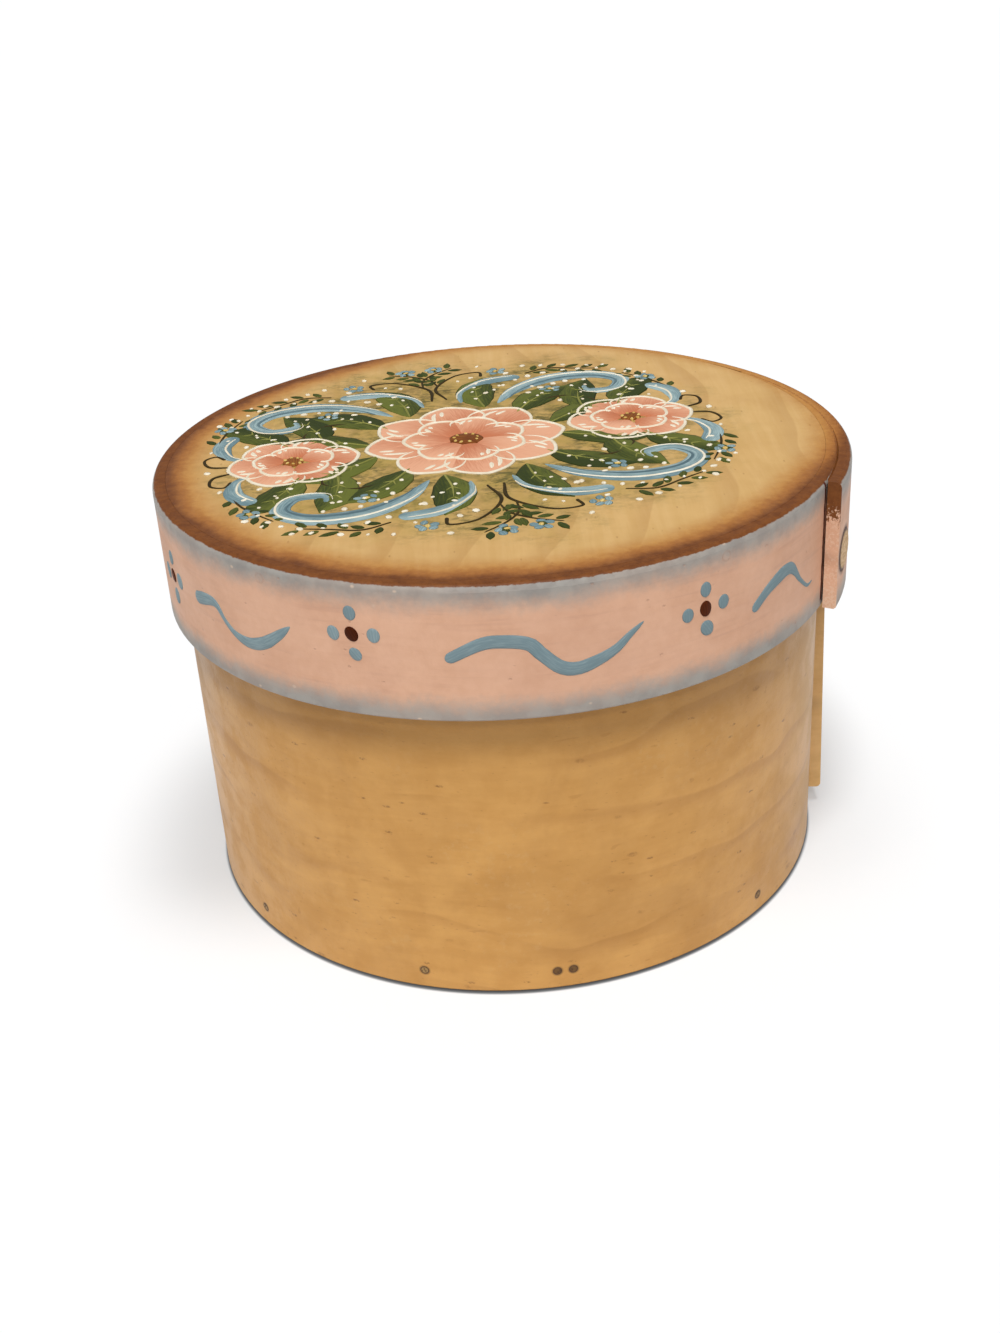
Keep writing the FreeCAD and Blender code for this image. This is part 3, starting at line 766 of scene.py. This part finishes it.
def layPaint(name, dabs, onto, finish, around=12, sink=0.12):
    # Each dab is a tube: ring angle v gives w cos v to the side and crown sin v up, or sink sin v
    # down into the wood, both closing with the width. All dabs of a piece share one grid.
    centre, side, width, s = (np.array([d[key] for d in dabs]) for key in ("centre", "side", "width", "s"))
    crown, shade = (np.array([d[key] for d in dabs])[:, None, None] for key in ("crown", "shade"))
    count, rings = width.shape
    v = np.arange(around) * 2 * np.pi / around
    across = width[:, :, None] * np.cos(v)
    flat = centre[:, :, None, :] + side[:, :, None, :] * across[..., None]
    plump = np.sqrt(width / width.max(axis=1, keepdims=True))[:, :, None]
    lift = plump * (np.where(np.sin(v) > 0, crown, sink) * np.sin(v))
    along = np.broadcast_to(s[:, :, None], lift.shape)
    grids = (onto(flat, lift) / 1000, along, across, along / s[:, -1:, None],
             np.broadcast_to(shade, lift.shape), np.broadcast_to(np.cos(v), lift.shape))
    # the first and the last ring of a dab are one point each
    middles = (grid[:, 1:-1].reshape(count, -1, *grid.shape[3:]) for grid in grids)
    places, alongs, acrosses, shares, tints, sides = (
        np.concatenate([grid[:, 0, :1], middle, grid[:, -1, :1]], axis=1)
        for grid, middle in zip(grids, middles))
    ringStart = 1 + np.arange(rings - 2) * around
    step = np.arange(around)
    onward = (step + 1) % around
    near, far = ringStart[:-1, None], ringStart[1:, None]
    quads = np.stack([near + step, near + onward, far + onward, far + step], axis=-1).reshape(-1, 4)
    last = 1 + (rings - 2) * around
    caps = np.concatenate([
        np.stack([np.zeros_like(step), ringStart[0] + onward, ringStart[0] + step], axis=-1),
        np.stack([np.full_like(step, last), ringStart[-1] + step, ringStart[-1] + onward], axis=-1)])
    base = (np.arange(count) * (last + 1))[:, None, None]
    faces = (base + quads).reshape(-1, 4).tolist() + (base + caps).reshape(-1, 3).tolist()
    mesh = bpy.data.meshes.new(name)
    mesh.from_pydata(places.reshape(-1, 3).tolist(), [], faces)
    corners = np.empty(len(mesh.loops), int)
    mesh.loops.foreach_get("vertex_index", corners)
    brush = mesh.uv_layers.new(name="brush")
    brush.data.foreach_set("uv", np.stack([alongs.ravel(), acrosses.ravel()], axis=1)[corners].ravel())
    for label, values in (("along", shares), ("shade", tints), ("beside", sides)):
        values = values.ravel().astype(np.float32)
        mesh.attributes.new(label, "FLOAT", "POINT").data.foreach_set("value", values)
    mesh.shade_smooth()
    mesh.materials.append(finish)
    piece = bpy.data.objects.new(name, mesh)
    scene.collection.objects.link(piece)
    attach(piece, "lid")
    return piece


def brushPaint(name, deep, light, streakMix=0.7, baseToTip=0.0, sideToSide=0.0, start=0.0):
    # paint as the brush left it: streaks along the stroke, lighter towards its end or towards one side
    material, tree, skin = startMaterial(name)
    alongStroke = addNode(tree, "UVMap", {"uv_map": "brush"}).outputs[0]
    film = useGroup(paintFilm, alongStroke, Stretch=(0.22, 2.6, 0.0))
    shade, along, beside = (addNode(tree, "Attribute", {"attribute_name": label}).outputs["Fac"]
                            for label in ("shade", "along", "beside"))
    streaks = times(fade(film["Streaks"], 0.3, 0.7), streakMix)
    mixed = plus(streaks, start, times(minus(shade, 0.5), 0.5), times(along, baseToTip))
    mixed = plus(mixed, times(fade(beside, -0.6, 0.6, -1.0, 1.0), sideToSide))
    feedAll(skin, Base_Color=blend(fade(mixed, 0.0, 1.0), deep, light),
            Roughness=fade(film["Streaks"], 0.3, 0.7, 0.42, 0.56), Specular_IOR_Level=0.08,
            Normal=relief(film["Film"], 0.1))
    return material


random = np.random.default_rng(11)

# Rim ornament: wavy strokes with a four-dot flower between each two, as azimuth and height.
# The hidden side repeats the middle stroke and the flower.

rimWork = {
    "strokes": [
        [(-146.0, 91.9), (-140.2, 93.3), (-137.7, 90.1), (-135.3, 87.7), (-132.1, 86.9), (-128.9, 88.2),
         (-125.8, 91.1), (-123.2, 94.1)],
        [(-99.0, 90.4), (-93.9, 94.0), (-90.5, 94.4), (-87.1, 93.5), (-85.4, 91.0), (-82.8, 87.5),
         (-80.4, 86.6), (-77.6, 87.6), (-74.6, 89.6), (-72.4, 92.3), (-70.2, 94.7)],
        [(-50.3, 88.2), (-46.0, 92.0), (-40.9, 93.5), (-37.5, 88.8), (-34.8, 85.7), (-32.9, 85.8)],
    ],
    "widths": [
        [1.6, 1.6, 1.2, 0.65, 0.75, 1.25, 1.5, 1.45, 1.1, 0.5],
        [1.25, 1.35, 1.5, 1.55, 1.55, 1.5, 1.6, 1.5, 1.2, 0.85, 0.4],
        [1.25, 1.3, 1.45, 1.7, 1.5, 0.9, 0.55, 0.45, 0.4],
    ],
    "head": 1.5, "tail": 3.0, "crown": 0.2,
    "flowers": [(-112.7, 95.1), (-59.8, 93.5), (-155.6, 91.9)],
    "petals": [(0.0, 4.6), (3.2, 0.2), (-3.1, -0.3), (0.3, -4.8)],
    "petalRadius": 1.85, "petalCrown": 0.22, "heartRadius": 1.8, "heartCrown": 0.3,
    "blue": ((117, 137, 143), (143, 161, 165)), "heart": ((62, 22, 2), (90, 38, 6)),
    "hiddenFlowers": [-8.0, 45.0, 98.0, 151.0], "hiddenHeight": 94.0, "toHiddenStroke": (26.5, -3.4),
}

blueStroke = brushPaint("blueStrokePaint", *rimWork["blue"])
heartPaint = brushPaint("brownHeartPaint", *rimWork["heart"])


def onRim(points):
    # azimuth and height to the plane that is rolled round the rim
    points = np.asarray(points, float)
    return np.stack([np.radians(points[..., 0]) * rimRadius, points[..., 1]], axis=-1)


def handSpot(centre, radius, spread, squash, turns, crown):
    # a spot whose size, shape and turn are never quite the same twice
    size = radius * random.uniform(*spread)
    return spot(centre, size, random.uniform(*squash), random.uniform(*turns), crown, random.random())


strokePaths = [np.array(points) for points in rimWork["strokes"]]
strokeWidths = list(rimWork["widths"])
middleWave = strokePaths[1] - strokePaths[1].mean(axis=0)
for azimuth in rimWork["hiddenFlowers"]:
    wave = middleWave * random.uniform(0.9, 1.05, 2)
    hiddenPlace = np.array([azimuth, rimWork["hiddenHeight"] + random.uniform(-0.6, 0.6)])
    strokePaths.append(wave + hiddenPlace + rimWork["toHiddenStroke"])
    strokeWidths.append(rimWork["widths"][1])
strokeDabs = [
    dab(onRim(points), widths, rimWork["head"], rimWork["tail"], rimWork["crown"], random.random(), 61)
    for points, widths in zip(strokePaths, strokeWidths)]
layPaint("rim_wave_strokes", strokeDabs, ontoRim, blueStroke)
flowerPlaces = rimWork["flowers"] + [
    (azimuth, rimWork["hiddenHeight"] + random.uniform(-0.7, 0.7)) for azimuth in rimWork["hiddenFlowers"]]
petals, hearts = [], []
for place in flowerPlaces:
    hearts.append(handSpot(onRim(place), rimWork["heartRadius"], (0.9, 1.08), (0.82, 0.92), (1.7, 2.3),
                           rimWork["heartCrown"]))
    for offset in rimWork["petals"]:
        middle = onRim(np.array(place) + offset * random.uniform(0.92, 1.08, 2))
        petals.append(handSpot(middle, rimWork["petalRadius"], (0.88, 1.1), (0.8, 0.92), (1.5, 2.3),
                               rimWork["petalCrown"]))
layPaint("rim_flower_petals", petals, ontoRim, blueStroke)
layPaint("rim_flower_hearts", hearts, ontoRim, heartPaint)
print("rim ornament:", len(strokePaths), "strokes,", len(flowerPlaces), "flowers")

# Stained glue that fills the lap's seam on top of the rim. The seam runs inwards at an even rate over
# its span of degrees, from just outside the rim at the lap's end to just inside the bore.

seam = {
    "from": 1.5, "to": 58.0, "span": 60.0, "halfWidths": (0.42, 0.42), "ends": 1.0,
    "atEnd": 0.25, "atTip": 0.45, "crown": 0.08, "below": 0.06, "dip": 0.9, "dipFrom": 1.2,
    "sink": 0.6, "rings": 121,
}
seamTurns = np.linspace(seam["from"], seam["to"], 24)
seamShare = seamTurns / seam["span"]
seamRadii = (rimRadius + seam["atEnd"]) * (1 - seamShare) + (rimBore + seam["atTip"]) * seamShare
seamAngles = np.radians(lapEnd + seamTurns)
seamLine = np.stack([seamRadii * np.cos(seamAngles), seamRadii * np.sin(seamAngles)], axis=1)


def ontoSeam(flat, lift):
    # the filling lies lower, by a square, where the inner layer's rounded edge is open beside it
    outward = np.hypot(flat[..., 0], flat[..., 1]) - rimRadius + seam["dipFrom"]
    depth = seam["below"] + seam["dip"] * np.clip(outward / seam["dipFrom"], 0, 1) ** 2
    return np.stack([flat[..., 0], flat[..., 1], rimTop - depth + lift], axis=-1)


seamDab = dab(seamLine, seam["halfWidths"], seam["ends"], seam["ends"], seam["crown"], 0.5, seam["rings"])
layPaint("lap_seam_glue", [seamDab], ontoSeam, stainedGlue(), 12, seam["sink"])
print("lap seam filled")

# Lid ornament: a spray of plain folk flowers with comma scrolls, leaves, curls and dots,
# drawn as one quarter and repeated on both sides of the spray's two axes.
# A ring of petals is their number, inner and outer radius, half width and crown. A brush is the piece
# it paints, half widths from head to tail, how far head and tail close in, crown and rings.

lidWork = {
    "centre": (-7.0, 3.0), "tilt": 12.0, "innerRingTurn": 15,
    "middleFlower": {"heart": 4.4, "seeds": 9, "rings": [(8, 4, 25, 8.6, 0.22), (7, 2.5, 15.5, 6.2, 0.42)]},
    "sideFlower": {"heart": 3.0, "seeds": 7, "rings": [(6, 3, 16, 7.4, 0.22), (5, 2, 10, 4.9, 0.4)]},
    "sideDistance": 43.0,
    "pink": ((196, 118, 82), (230, 172, 138)), "cream": ((226, 212, 184), (248, 242, 224)),
    "green": ((52, 62, 26), (104, 110, 46)), "vein": ((128, 128, 62), (158, 154, 84)),
    "blue": ((106, 133, 140), (163, 185, 186)), "blueShade": ((84, 108, 116), (106, 130, 136)),
    "dark": ((48, 38, 16), (74, 60, 28)), "ochre": ((104, 52, 22), (160, 100, 44)),
    "seed": ((196, 160, 84), (232, 206, 132)),
    "leaf": [(0, 0), (8, 1.8), (16, 2.2), (25, 0.2)],
    "leafPlaces": [((17, 15), 40), ((10, 22), 78), ((23, 4), 22), ((34, 11), 72), ((43, 11), 50)],
    "scroll": [(14, 24), (21, 33), (32, 39), (44, 38), (50, 31), (46, 24), (39, 25), (39, 30)],
    "commas": [[(5, 28), (7, 36), (15, 43), (25, 44)], [(54, 5), (58, 9), (59, 17), (55, 24)]],
    "curls": [[(24, 22), (32, 23), (38, 18), (37, 13), (33, 14)],
              [(58, 2), (63, 4), (64, 9), (61, 11), (59, 8)],
              [(2, 32), (1, 42), (8, 51), (15, 52), (15, 48)]],
    "sprigs": [[(27, 46), (34, 48), (41, 45), (48, 42)], [(60, 18), (58, 25), (55, 31), (52, 36)],
               [(-2, 44), (-1, 50), (3, 55), (9, 59)]],
    "blossoms": [(20, 51), (57, 30), (30, 30), (4, 59)],
    "dots": [(27, 27), (30, 20), (26, 34), (36, 30), (46, 18), (50, 21), (53, 15), (57, 21), (13, 33),
             (11, 39), (18, 38), (22, 48), (12, 48), (33, 51), (39, 49), (45, 46), (55, 38), (58, 34),
             (62, 14), (64, 0), (8, 46), (28, 53), (16, 57), (49, 45)],
    "dotRadius": (0.5, 1.0), "dewRadius": (0.45, 0.7),
    "brushes": {
        "scroll": ("scrolls", [0.6, 2.0, 3.1, 3.5, 3.1, 2.5, 2.1, 1.9], 4.0, 1.8, 0.24, 61),
        "scrollShade": ("shades", [0.2, 0.5, 0.9, 1.0, 0.8, 0.5, 0.2], 2.0, 2.0, 0.3, 61),
        "scrollLight": ("scrollLines", [0.15, 0.4, 0.5, 0.5, 0.4, 0.3, 0.15], 2.0, 1.0, 0.4, 61),
        "comma": ("scrolls", [0.5, 1.3, 2.3, 2.6, 2.2], 2.5, 2.0, 0.22, 61),
        "commaLight": ("scrollLines", [0.15, 0.35, 0.4, 0.2], 1.0, 1.0, 0.36, 61),
        "leaf": ("leaves", [0.8, 4.2, 5.4, 4.2, 0.6], 2.4, 5.0, 0.2, 31),
        "vein": ("veins", [0.3, 0.36, 0.12], 1.0, 3.0, 0.32, 31),
        "sideVein": ("veins", [0.28, 0.24, 0.1], 0.6, 1.4, 0.3, 31),
        "curl": ("curls", [0.3, 0.5, 0.45, 0.38, 0.34, 0.5], 0.5, 0.5, 0.2, 61),
        "sprig": ("curls", [0.25, 0.34, 0.3, 0.18], 0.5, 0.8, 0.2, 61),
        "needle": ("needles", [0.4, 1.0, 0.95, 0.25], 0.5, 1.6, 0.2, 21),
    },
}


def turned(points, degrees):
    # points turned about the middle, anticlockwise
    x, y = compass(math.radians(degrees))
    return np.asarray(points, float) @ np.array([[x, y], [-y, x]])


def onLid(points):
    return turned(points, lidWork["tilt"]) + np.array(lidWork["centre"])


def petalOutline(share, width):
    # half width at a share of the petal's length: a sine raised to soft powers, widest past the middle
    return width * np.sin(np.pi * np.clip(share, 0, 1) ** 1.3) ** 0.65


def drawPetals(middle, ring, firstTurn, work):
    # petals set evenly round the middle, each with a cream line round its end and light strokes on it
    count, inner, outer, width, crown = ring
    reach = outer - inner
    share = np.linspace(0, 1, 15)
    edge = np.linspace(0.4, 0.99, 8)
    edge, sides = np.concatenate([edge, edge[::-1]]), np.repeat([0.98, -0.98], 8)

    def laid(turn, along, side):
        # a line over the petal, at shares of its length and of its half width there
        flat = np.stack([inner + reach * along, side * petalOutline(along, width)], axis=1)
        return onLid(turned(flat, turn) + middle)

    for number in range(count):
        turn = 360 / count * number + random.uniform(-3, 3) + firstTurn
        petal = dab(laid(turn, share, 0.0), petalOutline(share, width), 0.4, 0.4, crown, random.random(), 33)
        work["petals"].append(petal)
        line = dab(laid(turn, edge, sides), [0.25, 0.5, 0.6, 0.5, 0.25], 0.6, 0.6, crown + 0.16, 0.5, 33)
        work["lines"].append(line)
        for side, start, end in ((0.55, 0.52, 0.84), (0.28, 0.66, 0.88)):
            stroke = laid(turn, np.linspace(start, end, 4), side)
            work["lines"].append(dab(stroke, [0.2, 0.75, 0.7, 0.25], 0.8, 1.4, crown + 0.1, 0.6, 33))


def dotAt(point, radius=None, crown=0.34):
    size = random.uniform(*lidWork["dotRadius"]) if radius is None else radius
    middle = onLid(point) + random.uniform(-0.25, 0.25, 2)
    return spot(middle, size, random.uniform(0.78, 1.0), random.uniform(0, 3), crown, random.random())


def besidePath(points, shares, gap):
    # places set off to the left of a path at given shares of it, and the path's heading there
    line = smoothPath(points)
    heading = np.gradient(line, axis=0)
    heading /= np.linalg.norm(heading, axis=1, keepdims=True)
    picked = (np.asarray(shares) * (len(line) - 1)).astype(int)
    return line[picked] + gap * leftOf(heading[picked]), heading[picked]


def drawQuarter(flip, work):
    # one quarter of the spray: flip holds the signs that carry it to its side of the two axes
    def stroke(brush, points):
        kind, widths, head, tail, crown, rings = lidWork["brushes"][brush]
        line = onLid(np.asarray(points) * flip)
        work[kind].append(dab(line, widths, head, tail, crown, random.random(), rings))

    scroll = lidWork["scroll"]
    stroke("scroll", scroll)
    stroke("scrollShade", besidePath(scroll, np.linspace(0.06, 0.8, 12), -1.4)[0])
    stroke("scrollLight", besidePath(scroll, np.linspace(0.08, 0.95, 12), 1.3)[0])
    for gap, shares in ((5.2, np.linspace(0.12, 0.62, 12)), (-4.6, np.linspace(0.14, 0.4, 5))):
        work["dots"] += [dotAt(point * flip) for point in besidePath(scroll, shares, gap)[0]]
    for comma in lidWork["commas"]:
        stroke("comma", comma)
        stroke("commaLight", besidePath(comma, np.linspace(0.15, 0.95, 6), 0.9)[0])
    for start, aim in lidWork["leafPlaces"]:
        leaf = turned(lidWork["leaf"], aim) + start
        stroke("leaf", leaf)
        stroke("vein", leaf[:3])
        for root, heading in zip(*besidePath(leaf, [0.35, 0.62], 0.0)):
            for sign in (1, -1):
                out = heading * 2.2 + sign * 2.1 * leftOf(heading)
                stroke("sideVein", [root, root + out * 0.5, root + out])
        for point in besidePath(leaf, [0.3, 0.55, 0.8], random.uniform(-1.5, 1.5))[0]:
            work["dots"].append(dotAt(point * flip, random.uniform(*lidWork["dewRadius"]), 0.42))
    for curl in lidWork["curls"]:
        stroke("curl", curl)
    for sprig in lidWork["sprigs"]:
        stroke("sprig", sprig)
        for sign, first in ((1, 0.15), (-1, 0.1)):
            for root, heading in zip(*besidePath(sprig, np.linspace(first, first + 0.8, 5), sign * 0.9)):
                tip = root + (heading * 0.75 + sign * 0.7 * leftOf(heading)) * random.uniform(3.4, 4.8)
                stroke("needle", [root, (root + tip) / 2, tip])
    for middle in np.array(lidWork["blossoms"]) * flip:
        for turn in np.radians(20 + 72 * np.arange(5)):
            work["blossoms"].append(dotAt(middle + 1.9 * compass(turn), 1.15, 0.26))
        work["seeds"].append(dotAt(middle, 0.8, 0.4))
    work["dots"] += [dotAt(point) for point in np.array(lidWork["dots"]) * flip]


greenLeaf = brushPaint("greenLeafPaint", *lidWork["green"], streakMix=0.5, sideToSide=0.28, start=0.15)
blueScroll = brushPaint("blueScrollPaint", *lidWork["blue"], streakMix=0.6, sideToSide=0.2, start=0.1)
pinkPetal = brushPaint("pinkPetalPaint", *lidWork["pink"], streakMix=0.35, baseToTip=0.75, sideToSide=0.12)
creamLine = brushPaint("creamLinePaint", *lidWork["cream"])
lidPaint = {
    "leaves": ("lid_leaves", 12, greenLeaf),
    "veins": ("lid_leaf_veins", 8, brushPaint("leafVeinPaint", *lidWork["vein"])),
    "curls": ("lid_curls", 8, brushPaint("darkCurlPaint", *lidWork["dark"])),
    "needles": ("lid_needles", 8, brushPaint("darkGreenPaint", *lidWork["green"], streakMix=0.5)),
    "scrolls": ("lid_scrolls", 16, blueScroll),
    "shades": ("lid_scroll_shades", 8, brushPaint("deepBluePaint", *lidWork["blueShade"])),
    "blossoms": ("lid_blossoms", 8, brushPaint("blossomBluePaint", *lidWork["blue"])),
    "petals": ("lid_flower_petals", 16, pinkPetal),
    "lines": ("lid_petal_lines", 8, creamLine),
    "scrollLines": ("lid_scroll_lines", 8, creamLine),
    "dots": ("lid_dots", 8, creamLine),
    "hearts": ("lid_flower_hearts", 16, brushPaint("ochreHeartPaint", *lidWork["ochre"])),
    "seeds": ("lid_seeds", 8, brushPaint("seedPaint", *lidWork["seed"])),
}
work = {kind: [] for kind in lidPaint}
for side in (0, -1, 1):
    flower = lidWork["sideFlower"] if side else lidWork["middleFlower"]
    middle = np.array([side * lidWork["sideDistance"], 0.0])
    for number, ring in enumerate(flower["rings"]):
        drawPetals(middle, ring, number * lidWork["innerRingTurn"], work)
    work["hearts"].append(dotAt(middle, flower["heart"], 0.56))
    for turn in math.tau * np.arange(flower["seeds"]) / flower["seeds"]:
        work["seeds"].append(dotAt(middle + flower["heart"] * 0.66 * compass(turn), 0.55, 0.72))
for flip in ((1, 1), (-1, 1), (1, -1), (-1, -1)):
    drawQuarter(flip, work)
for kind, (name, around, finish) in lidPaint.items():
    layPaint(name, work[kind], ontoTop, finish, around)
print("lid ornament:", {kind: len(dabs) for kind, dabs in work.items()})

# Floor, lamps and camera. What the camera sees of the floor is its soft shade, painted by distance
# from the box's axis and fading towards the front and across; other rays meet a plain pale floor.

studio = {
    "floorHalf": 30000, "floorTone": (236, 236, 236), "seenTone": (205, 207, 209), "floorGlow": 0.35,
    "contact": (-0.1, 0.8, 0.2, 1.0), "besideReach": (0.0, 38.0, 1.0, 0.0),
    "besideFront": (-70.0, -20.0, 0.0, 0.25), "besideAcross": (-90.0, 90.0, 1.2, 0.45),
    "highLamp": {"azimuth": -100, "elevation": 69, "angle": 14, "strength": 2.15},
    "lowLamp": {"azimuth": -90, "elevation": 45, "angle": 9, "strength": 0.5},
    "fill": 0.32,
}


def paleFloor():
    material, tree, skin = startMaterial("paleFloorPaint")
    rays = addNode(tree, "LightPath").outputs
    seen = larger(rays["Is Camera Ray"], rays["Is Glossy Ray"])
    place = millimetres(tree)
    parts = splitPlace(place)
    fromBody = minus(useGroup(hoopPlace, place)["Radius"], bodyRadius)
    beside = times(fade(fromBody, *studio["besideReach"]), fade(parts["Y"], *studio["besideFront"]),
                   fade(parts["X"], *studio["besideAcross"]))
    soft = times(fade(fromBody, *studio["contact"]), minus(1.0, beside))
    grey = addNode(tree, "CombineColor", None, Red=soft, Green=soft, Blue=soft).outputs[0]
    shaded = blend(1.0, studio["seenTone"], grey, "MULTIPLY")
    feedAll(skin, Base_Color=blend(seen, studio["floorTone"], shaded), Roughness=0.9,
            Specular_IOR_Level=0.0, Emission_Color=(1, 1, 1, 1),
            Emission_Strength=times(seen, studio["floorGlow"], soft))
    return material


half = studio["floorHalf"] / 1000
floorMesh = bpy.data.meshes.new("paleFloor")
floorCorners = [(-half, -half, 0), (half, -half, 0), (half, half, 0), (-half, half, 0)]
floorMesh.from_pydata(floorCorners, [], [(0, 1, 2, 3)])
floorMesh.materials.append(paleFloor())
floor = bpy.data.objects.new("paleFloor", floorMesh)
scene.collection.objects.link(floor)

world = bpy.data.worlds.new("studioAir")
scene.world = world
world.use_nodes = True
air = world.node_tree
background = air.nodes["Background"]
background.inputs["Color"].default_value = (1, 1, 1, 1)
seenAir = addNode(air, "LightPath").outputs["Is Camera Ray"]
feed(background.inputs["Strength"], fade(seenAir, 0.0, 1.0, studio["fill"], 1.0))


def addLamp(name, azimuth, elevation, angle, strength):
    # a broad far-off lamp: its light comes down from one azimuth and elevation, softened by its angle
    lamp = bpy.data.lights.new(name, "SUN")
    lamp.angle = math.radians(angle)
    lamp.energy = strength
    holder = bpy.data.objects.new(name, lamp)
    scene.collection.objects.link(holder)
    holder.rotation_euler = (0, math.radians(90 - elevation), math.radians(azimuth))


addLamp("highLamp", **studio["highLamp"])
addLamp("lowLamp", **studio["lowLamp"])

shot = {
    "place": (-1.92, -368.30, 240.31), "elevation": 28.031, "roll": -3.528,
    "lens": 42.328, "sensorWidth": 36, "clipStart": 10,
}
cameraData = bpy.data.cameras.new("shotCamera")
cameraData.lens = shot["lens"]
cameraData.sensor_width = shot["sensorWidth"]
cameraData.clip_start = shot["clipStart"] / 1000
camera = bpy.data.objects.new("shotCamera", cameraData)
scene.collection.objects.link(camera)
camera.matrix_world = (Matrix.Translation([value / 1000 for value in shot["place"]])
                       @ Matrix.Rotation(math.radians(90 - shot["elevation"]), 4, "X")
                       @ Matrix.Rotation(math.radians(shot["roll"]), 4, "Z"))
scene.camera = camera
scene.view_settings.view_transform = "Standard"
print("studio and camera set")
